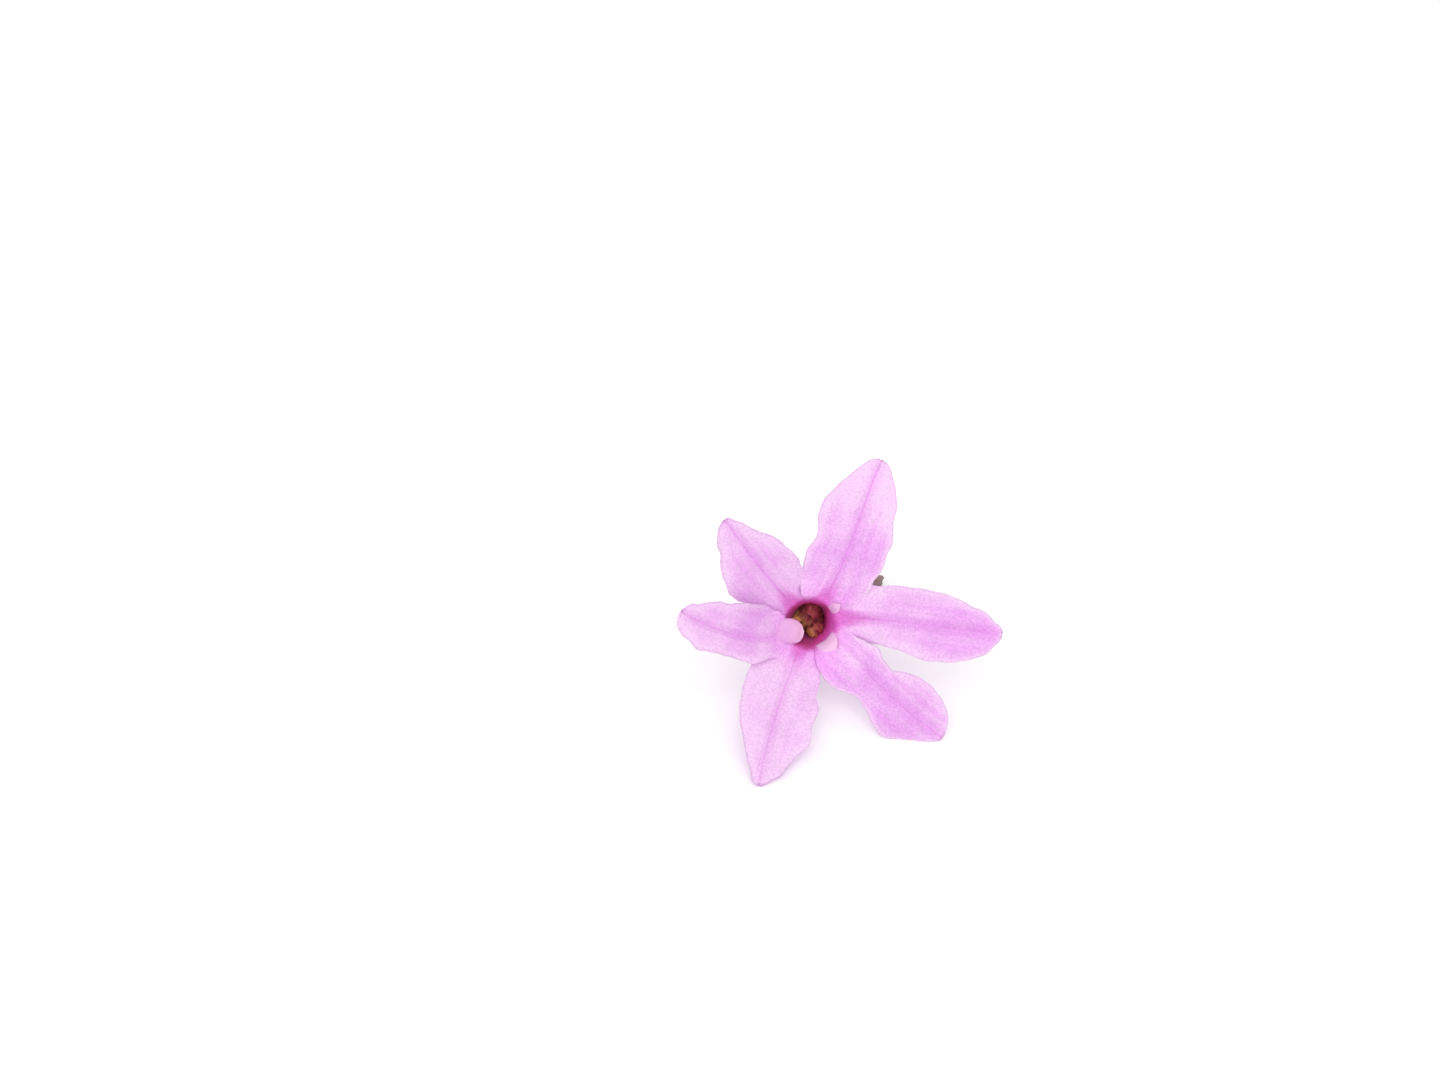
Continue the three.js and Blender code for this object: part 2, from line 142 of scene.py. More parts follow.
class Skin:
    """The points, faces and colouring values of one mesh."""

    def __init__(self):
        self.points = []
        self.faces = []
        self.marks = {}

    def point(self, place, **marks):
        self.points.append(place)
        for name, value in marks.items():
            self.marks.setdefault(name, []).append(value)
        return len(self.points) - 1

    def grid(self, rows):
        """Faces between neighbouring rows of point numbers."""
        for near, far in zip(rows, rows[1:]):
            for j in range(len(near) - 1):
                self.faces.append((near[j], near[j + 1], far[j + 1], far[j]))

    def make(self, name, place=lying):
        """The finished object, with its points turned from millimetres into metres."""
        mesh = bpy.data.meshes.new(name)
        mesh.from_pydata([set_down(place @ point) * MM for point in self.points], [], self.faces)
        for mark, values in self.marks.items():
            kind = "FLOAT_VECTOR" if isinstance(values[0], (tuple, Vector)) else "FLOAT"
            store = mesh.attributes.new(mark, kind, "POINT")
            for item, value in zip(store.data, values):
                if kind == "FLOAT":
                    item.value = value
                else:
                    item.vector = value
        body = bmesh.new()
        body.from_mesh(mesh)
        bmesh.ops.recalc_face_normals(body, faces=body.faces)
        body.to_mesh(mesh)
        body.free()
        mesh.shade_smooth()
        mesh.set_sharp_from_angle(angle=crease_angle)
        made = bpy.data.objects.new(name, mesh)
        bpy.context.collection.objects.link(made)
        print(name, "has", len(mesh.polygons), "faces")
        return made


# %% [markdown]
# ## The six petals and the tube are one skin
#
# On the real flower the petals (a botanist says tepals) are the tube's own wall, split into six
# lobes. They could be modelled as six leaves pushed into a tube, but that leaves a seam at the
# mouth. Here the tube is a ring of points that climbs to the mouth, and each petal carries on with
# its own sixth of that ring, so the skin is smooth from the closed end to the petal tips.
#
# A petal is drawn along a curved spine, with a half width for each edge. The main numbers are those
# of the solid model: the angle at which it starts and ends round the mouth, how far it spreads from
# the tube's axis, how far its tip reaches, and how it leans, bows, arches and twists. Each edge has
# its own width and waves, and its cover says how far it is lifted over the next petal's edge, or
# pressed under it. The last line of each petal says how its colour differs: how far the pink of the
# throat runs out along it, where its vein and its white hem start, how pale it is, how much paler
# on its left side, and how much paler its tip is.

# %% Petal sizes
rim_radius = 1.65
foot_flare = 25
foot_lead = 2.2
tip_handle = 0.4
foot_half_angle = 32
petal_half_angle = 30
tip_half_width = 0.12
spine_steps = 50
foot_curl_end = 0.3
cupping = 0.08
overlap_lift = 0.06
cover_full = 0.12
cover_end = 0.55
cover_fade = 0.2
tuck_width = 0.4
tuck_full = 0.1
tuck_end = 0.22
tuck_fade = 0.2
keel_depth = 0.16
ripple_height = 0.1
ripples = 2.2
waist_place = 0.5
waist_span = 0.25

PETALS = [
    dict(name="right", whorl="outer", foot=10, tip=-1.5, spread=77, reach=13.9,
         lean=0.22, bow=0.1, arch=0.5, twist=0, waist=0,
         left=dict(cover=-0.42, width=2.77, widest=0.52, taper=0.78, swell=0.87, blunt=0.8,
                   waves=[(0.4, -0.15, 0.05), (0.53, -0.17, 0.06), (0.91, 0.18, 0.05)]),
         right=dict(cover=-0.3, width=2.47, widest=0.74, taper=0.77, swell=0.89, blunt=1.2,
                    waves=[(0.51, -0.16, 0.05), (0.64, 0.2, 0.05), (0.94, 0.15, 0.04)]),
         throat_run=6.5, vein_from=-4, hem_from=4, paleness=0.38, lopsided=0, pale_tip=-0.7),
    dict(name="top", whorl="inner", foot=70, tip=68, spread=77, reach=13.45,
         lean=-0.44, bow=0.3, arch=0.6, twist=9, waist=0,
         left=dict(cover=0.1, width=2.83, widest=0.53, taper=0.59, swell=0.3, blunt=1.4,
                   waves=[(0.54, -0.3, 0.06), (0.73, 0.47, 0.09)]),
         right=dict(cover=0.0, width=2.86, widest=0.47, taper=0.55, swell=0.81, blunt=1.3,
                    waves=[(0.27, 0.25, 0.07), (0.4, -0.25, 0.05), (0.54, -0.1, 0.04),
                           (0.71, -0.12, 0.04)]),
         throat_run=4.3, vein_from=1.0, hem_from=0.5, paleness=0.05, lopsided=0, pale_tip=1.3),
    dict(name="upper_left", whorl="outer", foot=130, tip=125, spread=53, reach=13.2,
         lean=0.09, bow=0, arch=0.3, twist=0, waist=0,
         left=dict(cover=-0.15, width=2.72, widest=0.53, taper=0.7, swell=0.9, blunt=1.0,
                   waves=[(0.58, 0.16, 0.06), (0.8, -0.25, 0.07)]),
         right=dict(cover=-0.35, width=2.51, widest=0.48, taper=0.82, swell=1, blunt=0.5,
                    waves=[(0.84, -0.2, 0.1)]),
         throat_run=4.8, vein_from=-2, hem_from=4, paleness=0.35, lopsided=-0.07, pale_tip=0.5),
    dict(name="left", whorl="inner", foot=190, tip=165.5, spread=47, reach=12.9,
         lean=0.55, bow=0.6, arch=0.1, twist=-4, waist=0,
         left=dict(cover=0.05, width=1.71, widest=0.77, taper=0.76, swell=0.53, blunt=1.5,
                   waves=[(0.42, 0.3, 0.1), (0.62, -0.1, 0.06), (0.8, 0.12, 0.05)]),
         right=dict(cover=0.05, width=2.45, widest=0.46, taper=0.65, swell=0.6, blunt=1.0,
                    waves=[(0.72, -0.09, 0.05)]),
         throat_run=1.3, vein_from=1.8, hem_from=4, paleness=0.28, lopsided=0.13, pale_tip=0.6),
    dict(name="bottom", whorl="outer", foot=250, tip=250, spread=54, reach=13.4,
         lean=-0.12, bow=-0.48, arch=0.3, twist=-2, waist=0,
         left=dict(cover=-0.35, width=2.7, widest=0.56, taper=0.72, swell=0.89, blunt=0.9,
                   waves=[(0.49, 0.15, 0.04), (0.69, 0.32, 0.07), (0.91, 0.14, 0.03)]),
         right=dict(cover=-0.1, width=2.84, widest=0.46, taper=1.03, swell=0.8, blunt=0.7,
                    waves=[(0.3, 0.3, 0.1), (0.6, 0.12, 0.1)]),
         throat_run=3.7, vein_from=2.5, hem_from=4, paleness=0.68, lopsided=0, pale_tip=0.1),
    dict(name="lower_right", whorl="inner", foot=310, tip=320.5, spread=76.5, reach=12.5,
         lean=0.53, bow=-0.92, arch=0.4, twist=8, waist=0.39,
         left=dict(cover=0.05, width=2.72, widest=0.65, taper=0.41, swell=1.12, blunt=1.0,
                   waves=[(0.4, 0.3, 0.06), (0.55, -0.18, 0.04), (0.9, 0.1, 0.08)]),
         right=dict(cover=-0.1, width=2.73, widest=0.48, taper=0.66, swell=0.3, blunt=0.8,
                    waves=[(0.42, 0.28, 0.1), (0.75, 0.3, 0.09)]),
         throat_run=2.6, vein_from=3.8, hem_from=1.5, paleness=0.0, lopsided=0.12, pale_tip=-0.1),
]
print(len(PETALS), "petals:", ", ".join(petal["name"] for petal in PETALS))

# %% [markdown]
# ## A petal's spine and edges
#
# The spine is a cubic Bezier curve. It leaves the rim at the slope of the tube's neck and ends at
# the petal's tip, and two handles between them bend it. The outline comes from two short formulas:
# one swells from the foot to the widest place and one tapers from there to the tip. Small waves
# and nicks are then taken off the edge, because the edge of a real petal is never a clean line.


# %% Spine and outline
fray_height = 0.02
fray_full = 0.3
right_edge_seed = 7


class Spine:
    def __init__(self, petal):
        round_foot = axis.cross(outward(petal["foot"]))
        leave = aslant(foot_flare, petal["foot"]) + round_foot * petal["lean"]
        self.start = outward(petal["foot"]) * rim_radius
        self.handle = self.start + leave * foot_lead
        self.tip = aslant(petal["spread"], petal["tip"]) * petal["reach"]
        along = (self.tip - self.handle).normalized()
        across = axis.cross(outward(petal["tip"]))
        across = (across - along * across.dot(along)).normalized()
        self.second = self.tip - along * (tip_handle * (self.tip - self.handle).length)
        self.second += across * petal["bow"] + along.cross(across) * petal["arch"]
        places = [self.at(i / spine_steps) for i in range(spine_steps + 1)]
        self.length = sum((b - a).length for a, b in zip(places, places[1:]))

    def at(self, u):
        v = 1 - u
        return (
            self.start * v**3
            + self.handle * (3 * v * v * u)
            + self.second * (3 * v * u * u)
            + self.tip * u**3
        )

    def direction(self, u):
        v = 1 - u
        return (
            (self.handle - self.start) * (v * v)
            + (self.second - self.handle) * (2 * v * u)
            + (self.tip - self.second) * (u * u)
        ).normalized()


def fraying(u, seed):
    """Small irregular waves of a petal's edge, in millimetres."""
    waves = 0.035 * sin(31 * u + seed) + 0.022 * sin(67 * u + 3 * seed)
    nicks = fray_height * noise.noise(Vector((60 * u, seed, 0)))
    nicks += fray_height * noise.noise(Vector((140 * u, seed, 5)))
    return smooth(u / fray_full) * (waves + nicks)


def half_width(petal, t, u, length):
    edge = petal["right"] if t < 0 else petal["left"]
    foot = rim_radius * radians(foot_half_angle)
    width = edge["width"]
    if u < edge["widest"]:
        width = foot + (width - foot) * smooth(u / edge["widest"]) ** edge["swell"]
    else:
        beyond = (u - edge["widest"]) / (1 - edge["widest"])
        width = width * (1 - beyond**2) ** edge["taper"]
    from_waist = min(abs(u - waist_place) / waist_span, 1)
    width = width * (1 - petal["waist"] * 0.5 * (1 + cos(pi * from_waist)))
    waves = (height * exp(-(((u - place) / span) ** 2)) for place, height, span in edge["waves"])
    width += sum(waves)
    if petal["whorl"] == "outer":
        width += tuck_width * smooth(u / tuck_full) * (1 - smooth((u - tuck_end) / tuck_fade))
    from_end = min((1 - u) * length / edge["blunt"], 1)
    width = max(width, edge["blunt"] * sqrt(1 - (1 - from_end) ** 2))
    width = width + fraying(u, petal["foot"] + (right_edge_seed if t < 0 else 0))
    return max(width, tip_half_width)


print("spines, mm:", [round(Spine(petal).length, 1) for petal in PETALS])

# %% [markdown]
# ## The middle of the skin
#
# First comes the surface that runs through the middle of the skin, without thickness. Near the
# mouth a petal is part of a funnel that all six share. Within two millimetres it turns into its
# own blade, which is curled at the foot and nearly flat further out. A groove runs down its face
# along the middle vein, low folds lie beside it near the throat, and the edges ripple.

# %% Petal surface
funnel_end = 0.14
groove_width = 0.3
groove_fade = 0.15
side_fold_place = 0.62
side_fold_width = 0.3
side_fold_height = 0.07
side_fold_start = 0.1
side_fold_end = 0.55
swelling_height = 0.05
ripple_full = 0.5
tuck_angle = 16
tuck_start = 0.06
tuck_depth = 0.14
tuck_depth_from = 28
tuck_depth_fade = 8


def relief(petal, u, t, x):
    """How far the blade rises towards its face, in millimetres, at x from its middle vein."""
    wave = sin(2 * pi * ripples * u + 2 * t + petal["foot"])
    ripple = ripple_height * smooth(u / ripple_full) * t * t * wave
    groove = keel_depth * exp(-((x / groove_width) ** 2)) * smooth((1 - u) / groove_fade)
    folds = side_fold_height * exp(-(((abs(x) - side_fold_place) / side_fold_width) ** 2))
    folds = folds * (1 - smooth(u / side_fold_end))
    swelling = swelling_height * noise.noise(Vector((0.9 * x, 9 * u, petal["foot"])))
    layer = overlap_lift if petal["whorl"] == "inner" else -overlap_lift
    edge = petal["right"] if t < 0 else petal["left"]
    cover = edge["cover"] * abs(t) ** 3 * smooth(u / cover_full)
    cover = cover * smooth((cover_end - u) / cover_fade)
    away = smooth(u / foot_curl_end) * (layer + ripple + swelling - groove)
    return away + smooth(u / side_fold_start) * folds + cover


def blade_place(petal, spine, u, t):
    along = spine.direction(u)
    side = axis.cross(outward(blend(petal["foot"], petal["tip"], u)))
    side = (side - along * side.dot(along)).normalized()
    side = Matrix.Rotation(radians(petal["twist"]) * smooth(u), 3, along) @ side
    face = along.cross(side)
    curl = blend(1 / rim_radius, cupping, smooth(u / foot_curl_end))
    x = t * half_width(petal, t, u, spine.length)
    lift = (1 - cos(curl * x)) / curl + relief(petal, u, t, x)
    blade = spine.at(u) + side * (sin(curl * x) / curl) + face * lift
    run = u * spine.length
    half_angle = petal_half_angle
    if petal["whorl"] == "outer":
        half_angle += tuck_angle * smooth(u / tuck_start)
    out = outward(petal["foot"] + half_angle * t)
    rise, spread = cos(radians(foot_flare)), sin(radians(foot_flare))
    under = tuck_depth * smooth((half_angle * abs(t) - tuck_depth_from) / tuck_depth_fade)
    funnel = out * (rim_radius + run * spread + under * rise) + axis * (run * rise - under * spread)
    return blend(funnel, blade, smooth(u / funnel_end)), x


# %% [markdown]
# ## The tube below the mouth
#
# The tube is slim, a little slimmer towards its closed end, and widens into the mouth in a smooth
# flare. Six low ribs run down its outside, one below each petal, with shallow furrows between
# them. Its wall is thicker than a petal. Each row of the tube is a radius, a height and a wall.

# %% Tube profile
tube_length = 12.0
middle_radius = 1.25
base_radius = 1.215
cap_height = 0.75
cap_centre = -10.8
flare_depth = 0.86
floor_wall = 0.9
tube_wall = 0.54
petal_wall = 0.3
rib_depth = 0.12
rib_set_off = 10
rib_ridge = 0.025
wrinkle_height = 0.05
slimmer_from = 7
slimmer_fade = 4
thicker_fade = 2.2
cap_steps = 12
tube_steps = 50
tube_crowding = 1.35


def flare(height):
    """How much wider the tube is than in its middle, at a height below the mouth."""
    return (rim_radius - middle_radius) * exp(height / flare_depth)


def tube_rows():
    """Radius, height and wall of each row of the tube, from its closed end to the mouth."""
    rows = []
    for i in range(1, cap_steps):
        angle = i / cap_steps * pi / 2
        height = cap_centre - cap_height * cos(angle)
        wall = blend(floor_wall, tube_wall, smooth(i / cap_steps))
        rows.append((base_radius * sin(angle), height, wall))
    for i in range(tube_steps + 1):
        height = cap_centre * (1 - i / tube_steps) ** tube_crowding
        radius = blend(middle_radius, base_radius, smooth((-height - slimmer_from) / slimmer_fade))
        wall = blend(petal_wall, tube_wall, smooth(-height / thicker_fade))
        rows.append((radius + flare(height), height, wall))
    return rows


def ribbing(angle, height):
    """How far the tube's outside stands out at its ribs and goes in at its furrows."""
    from_rib = radians(angle - rib_set_off)
    ribs = rib_depth * cos(6 * from_rib) + rib_ridge * cos(18 * from_rib + 0.5)
    place = Vector((cos(from_rib) * 3, sin(from_rib) * 3, height * 0.35))
    return ribs + wrinkle_height * noise.noise(place)


profile = tube_rows()
print(len(profile), "rows in the tube, widest at the mouth:", round(profile[-1][0], 2))

# %% [markdown]
# ## Give the skin its thickness
#
# Blender's Solidify modifier could thicken the surface, but here the wall changes: half a
# millimetre in the tube, a quarter on the petals and almost nothing at their edges, where light
# shines through. So each point of the middle surface gives two, one on the face and one on the
# back, and a strip closes the edge of every petal.

# %% Perianth
columns = 40
petal_rows = 84
outer_wall = 0.2
edge_wall = 0.07
vein_wall = 0.1
rib_fade = 1.8
tube_margin = 2.0
hem_wait = 0.6
hem_fade = 1.5


def across_of(k, column):
    """Angle round the mouth, and place from -1 to 1 across petal k, of one of its columns."""
    t = 2 * column / columns - 1
    return PETALS[k]["foot"] + petal_half_angle * t, t


def wall_at(u, t):
    """A petal's thickness: thin at the edge, and fuller along the middle vein near its foot."""
    rounded = sqrt(max(1 - abs(t) ** 5, 0))
    vein = vein_wall * exp(-((t / 0.12) ** 2)) * (1 - smooth(u / 0.8))
    body = blend(petal_wall, outer_wall, smooth(u / 0.5))
    return blend(blend(petal_wall, edge_wall, smooth(u / 0.1)), body + vein, rounded)


def two_sided(skin, middle, normal, wall, outset, blade, k, t):
    """Adds the face point and the back point of one place. Returns both numbers."""
    habit = habit_of(k, t, blade[0], blade[1])
    half = normal * (wall / 2)
    front = skin.point(middle + half, blade=blade, habit=habit, marks=marks_of(k, t, 1))
    back = skin.point(middle - half + outset, blade=blade, habit=habit, marks=marks_of(k, t, 0))
    return front, back


def tube_skin(skin):
    """The tube's points as rings of pairs, from the closed end up to the mouth."""
    rings = []
    for i, (radius, height, wall) in enumerate(profile):
        below = profile[max(i - 1, 0)]
        above = profile[min(i + 1, len(profile) - 1)]
        rise = Vector((above[0] - below[0], above[1] - below[1])).normalized()
        if i == len(profile) - 1:
            rise = Vector((sin(radians(foot_flare)), cos(radians(foot_flare))))
        ring = []
        for k in range(len(PETALS)):
            for column in range(columns):
                angle, t = across_of(k, column)
                out = outward(angle)
                normal = axis * rise.x - out * rise.y
                fade = smooth(-height / rib_fade) * smooth(radius / base_radius * 2 - 1)
                outset = out * (ribbing(angle, height) * fade)
                blade = (height, radius * radians(petal_half_angle * t), tube_margin)
                ring.append(two_sided(skin, out * radius + axis * height, normal, wall, outset,
                                      blade, k, t))
        rings.append(ring)
    return rings


def habit_of(k, t, run, x):
    """How far the pink runs out, how pale the blade is here and how much paler its tip is.

    Where two petals leave the rim side by side, the pink of both runs equally far.
    """
    petal = PETALS[k]
    beside = PETALS[(k + (1 if t > 0 else -1)) % len(PETALS)]
    shared = 0.5 * t * t * (1 - smooth((run - 0.5) / 2))
    throat_run = blend(petal["throat_run"], beside["throat_run"], shared)
    return throat_run, petal["paleness"] + petal["lopsided"] * x, petal["pale_tip"]


def marks_of(k, t, side):
    """The vein's start, the reach of the dark throat's painted shade, 1 on the face, 0 on the back.
    """
    angle = PETALS[k]["foot"] + petal_half_angle * t
    return PETALS[k]["vein_from"], dark_and_shade_reach(angle), side


def dark_and_shade_reach(angle):
    """How far out painted shade darkens the throat, most at the upper right, the left and below."""
    upper_right = exp(-(((angle - 42) / 22) ** 2))
    below = exp(-(((angle - 262) / 42) ** 2))
    return 0.9 * upper_right + 0.4 * below - 0.5 * cos(radians(angle - 10))


def petal_skin(skin, k, rim):
    """Petal k's rows of pairs. The first row is its sixth of the rim."""
    petal = PETALS[k]
    spine = Spine(petal)
    steps = [i / petal_rows for i in range(petal_rows + 1)]
    places_along = [step / 2 + (1 - cos(pi * step)) / 4 for step in steps]
    middle = [[blade_place(petal, spine, u, across_of(k, j)[1]) for j in range(columns + 1)]
              for u in places_along]
    rows = [rim]
    for i in range(1, petal_rows + 1):
        u = places_along[i]
        row = []
        for j in range(columns + 1):
            t = across_of(k, j)[1]
            before = middle[i - 1][j][0]
            after = middle[min(i + 1, petal_rows)][j][0]
            left = middle[i][min(j + 1, columns)][0]
            right = middle[i][max(j - 1, 0)][0]
            normal = (after - before).cross(left - right).normalized()
            place, x = middle[i][j]
            run = u * spine.length
            margin = min(half_width(petal, t, u, spine.length) - abs(x), spine.length - run)
            margin = max(margin, 0) + hem_wait * (1 - smooth((run - petal["hem_from"]) / hem_fade))
            row.append(two_sided(skin, place, normal, wall_at(u, t), Vector(),
                                 (run, x, margin), k, t))
        rows.append(row)
    return rows


def perianth():
    skin = Skin()
    rings = tube_skin(skin)
    count = len(PETALS) * columns
    for side in (0, 1):
        skin.grid([[pair[side] for pair in ring] + [ring[0][side]] for ring in rings])
        wall = -1 if side else 1
        middle = axis * (cap_centre - cap_height + wall * floor_wall / 2)
        pole = skin.point(middle, blade=(-tube_length, 0, tube_margin), habit=(2, 1, 0),
                          marks=(0, 0, 1 - side))
        for j in range(count):
            skin.faces.append((pole, rings[0][j][side], rings[0][(j + 1) % count][side]))
    rim = rings[-1]
    for k in range(len(PETALS)):
        own_rim = [rim[(k * columns + j) % count] for j in range(columns + 1)]
        rows = petal_skin(skin, k, own_rim)
        skin.grid([[pair[0] for pair in row] for row in rows])
        skin.grid([[pair[1] for pair in row] for row in rows])
        for j in (0, columns):
            skin.grid([row[j] for row in rows])
        skin.grid([[front for front, back in rows[-1]], [back for front, back in rows[-1]]])
    return skin.make("petals_and_tube")


flower = perianth()

# %% [markdown]
# ## Scales, anthers, pistil and stalk
#
# Three small blunt tongues stand at the feet of the inner petals. The one on the left leans over
# the throat and hides part of it, and of the upper one only the tip shows. Each is a curved blade
# of its own, rounded at the tip, whose foot is sunk in the wall that it grows from.

# %% Scales
SCALES = [
    dict(foot=34, aside=0, half_width=0.44, squareness=(3, 3), paleness=0.3,
         root=(1.68, 0.1), rise=(1.93, 0.86), tip=(2.57, 1.19)),
    dict(foot=178, aside=0.5, half_width=0.95, squareness=(3.5, 9), paleness=0.0,
         root=(2.3, 1.4), rise=(1.5, 1.15), tip=(0.47, 0.75)),
    dict(foot=311, aside=0, half_width=0.85, squareness=(3.5, 4.5), paleness=0.8,
         root=(1.68, 0.15), rise=(1.7, 0.85), tip=(2.5, 1.15)),
]
scale_wall = 0.3
scale_root_curl = 0.45
scale_cupping = 0.2
scale_raggedness = 0.06
scale_edge_wall = 0.08
scale_end = 0.03
scale_rows = 26
scale_columns = 20


def scale_place(scale, u, t):
    """A point in the middle of a scale, and the direction that its face looks in."""
    out = outward(scale["foot"])
    side = axis.cross(out)
    root, rise, tip = (out * radius + axis * height
                       for radius, height in (scale["root"], scale["rise"], scale["tip"]))
    spine = root * (1 - u) ** 2 + rise * (2 * u * (1 - u)) + tip * u * u + side * scale["aside"]
    along = ((rise - root) * (1 - u) + (tip - rise) * u).normalized()
    face = along.cross(side)
    curl = blend(scale_root_curl, scale_cupping, smooth(u))
    half = scale["half_width"] * max(sqrt(1 - u ** scale["squareness"][t > 0]), scale_end)
    half += 0.025 * sin(9 * u + scale["foot"]) * u
    x = t * half
    normal = face * cos(curl * x) - side * sin(curl * x)
    dimple = 0.03 * noise.noise(Vector((2 * x, 3 * u, scale["foot"])))
    place = spine + side * (sin(curl * x) / curl) + face * ((1 - cos(curl * x)) / curl + dimple)
    place += along * (scale_raggedness * sin(5 * t + scale["foot"]) * u * u)
    return place, normal


def scales():
    skin = Skin()
    for scale in SCALES:
        rows = []
        for i in range(scale_rows + 1):
            u = sin(pi / 2 * i / scale_rows)
            row = []
            for j in range(scale_columns + 1):
                t = 2 * j / scale_columns - 1
                place, normal = scale_place(scale, u, t)
                body = sqrt(max(1 - t**4, 0)) * smooth((1 - u) / 0.3) * smooth(u / 0.3)
                half = normal * (blend(scale_edge_wall, scale_wall, body) / 2)
                marks = {"rise": u, "paleness": scale["paleness"]}
                row.append((skin.point(place + half, **marks), skin.point(place - half, **marks)))
            rows.append(row)
        for side in (0, 1):
            skin.grid([[pair[side] for pair in row] for row in rows])
        for j in (0, scale_columns):
            skin.grid([row[j] for row in rows])
        for row in (rows[0], rows[-1]):
            skin.grid([[front for front, back in row], [back for front, back in row]])
    return skin.make("scales")


corona = scales()

# %% [markdown]
# Six anthers sit on the wall of the tube in two rings of three. An anther is two long pouches
# side by side, so a ball is stretched, pinched by a groove along its length and roughened with
# the grains of pollen that cling to it. They crowd each other, so each is moved and turned a
# little of its own, by a fixed noise. Where one presses into the wall it stays inside it. The last
# mark grows towards the lower left, where they are painted paler as lit, and darker as shaded away.

# %% Anthers
anther_depths = (0.85, 1.55)
anther_radii = (0.98, 0.5)
anther_half_length = 0.75
anther_half_width = 0.58
anther_lean = 0.45
anther_shift = Vector((-0.12, -0.02, 0))
anther_scatter = 0.16
anther_layers = (0.4, 5.7, 12.1)
anther_rings = 28
anther_sides = 36
anther_sunk = 0.05
pouch_furrow = 0.45
pouch_furrow_width = 0.28


def inside_wall(spot):
    """Holds a point of an anther back where it would come out through the tube's wall."""
    height = spot.dot(axis)
    from_axis = spot - axis * height
    furthest = middle_radius + flare(min(height, 0)) - anther_sunk
    return spot - from_axis.normalized() * max(from_axis.length - furthest, 0)


def own_drift(place):
    """Three noise values, the same in each run. Those of noise_vector depend on a random seed."""
    return Vector([noise.noise(place + axis * layer) for layer in anther_layers])


def anthers():
    skin = Skin()
    for ring in (0, 1):
        for place in range(3):
            out = outward(rib_set_off + 60 * (2 * place + 1 - ring))
            own = own_drift(out * 9 + axis * ring)
            side = Matrix.Rotation(own.z, 3, axis) @ axis.cross(out)
            centre = out * anther_radii[ring] - axis * anther_depths[ring] + anther_shift
            centre += own * anther_scatter
            rows = []
            for i in range(anther_rings + 1):
                tilt = pi * i / anther_rings
                row = []
                for j in range(anther_sides):
                    turn = 2 * pi * j / anther_sides
                    wide, deep, long = sin(tilt) * cos(turn), sin(tilt) * sin(turn), -cos(tilt)
                    pinch = 1 - pouch_furrow * exp(-((wide / pouch_furrow_width) ** 2))
                    on_ball = Vector((wide, deep, long * 2))
                    lumps = noise.noise(on_ball * 2 + out * 9)
                    grain = noise.noise(on_ball * 7 + out * 9)
                    swell = anther_half_width * (1 + 0.3 * lumps + 0.25 * grain)
                    spot = centre + side * (wide * swell) + out * (deep * pinch * swell)
                    spot = spot + (axis - out * anther_lean) * (long * anther_half_length)
                    spot = inside_wall(spot)
                    # The last mark grows towards the lower left, for the anthers' painted light and
                    # shade.
                    row.append(skin.point(spot, pouch=abs(wide), sunny=-spot.x - 0.8 * spot.y))
                rows.append(row + [row[0]])
            skin.grid(rows)
    return skin.make("anthers")


stamens = anthers()

# %% [markdown]
# The pistil stands on the floor of the tube, where only a look down the throat would find it: a
# three-lobed green ovary, a short style and a small stigma. It is turned like a vase on a lathe.

# %% Pistil
floor_height = -tube_length + floor_wall
ovary_radius = 0.62
ovary_height = 2.5
style_radius = 0.18
style_length = 1.5
stigma_radius = 0.3
stigma_height = 0.5


def pistil_radius(height):
    """Radius of the pistil at a height above the tube's floor."""
    if height < ovary_height:
        share = height / ovary_height
        body = ovary_radius * sin(pi * blend(0.18, 0.96, share)) ** 0.75
        return max(body, style_radius)
    above = height - ovary_height - style_length
    if above < 0:
        return style_radius
    return max(stigma_radius * sin(pi * blend(0.2, 1, above / stigma_height)), 0.01)


def pistil():
    skin = Skin()
    steps, sides = 90, 48
    rows = []
    for i in range(steps + 1):
        height = i / steps * (ovary_height + style_length + stigma_height)
        row = []
        for j in range(sides):
            turn = 360 * j / sides
            lobes = 1 + 0.07 * cos(radians(3 * turn)) * (height < ovary_height)
            place = outward(turn) * (pistil_radius(height) * lobes)
            row.append(skin.point(place + axis * (floor_height + height), rise=height))
        rows.append(row + [row[0]])
    skin.grid(rows)
    skin.faces.append(tuple(reversed(rows[0][:-1])))
    skin.faces.append(tuple(rows[-1][:-1]))
    return skin.make("pistil_of_flower")


green = pistil()

# %% [markdown]
# The stalk is what was picked. It lies on the surface behind the tube, so it is drawn there and
# not in the flower's own frame. It widens where it carries the flower, bends to the right and
# ends in a dry, torn tip.

# %% Stalk
stalk_radius = 0.42
stalk_top_radius = 0.56
stalk_sunk = 0.35
stalk_lead = 1.6
stalk_taper_end = 0.3
torn_height = 0.1
tube_end = lying @ (axis * (-tube_length + stalk_sunk))
backwards = lying.to_3x3() @ -axis
stalk_shift = Vector((mouth_centre.x, mouth_centre.y, 0))
stalk_points = (
    tube_end,
    tube_end + backwards * stalk_lead,
    Vector((2.7, 13.7, 0.85)) + stalk_shift,
    Vector((5.55, 12.7, 0.5)) + stalk_shift,
)


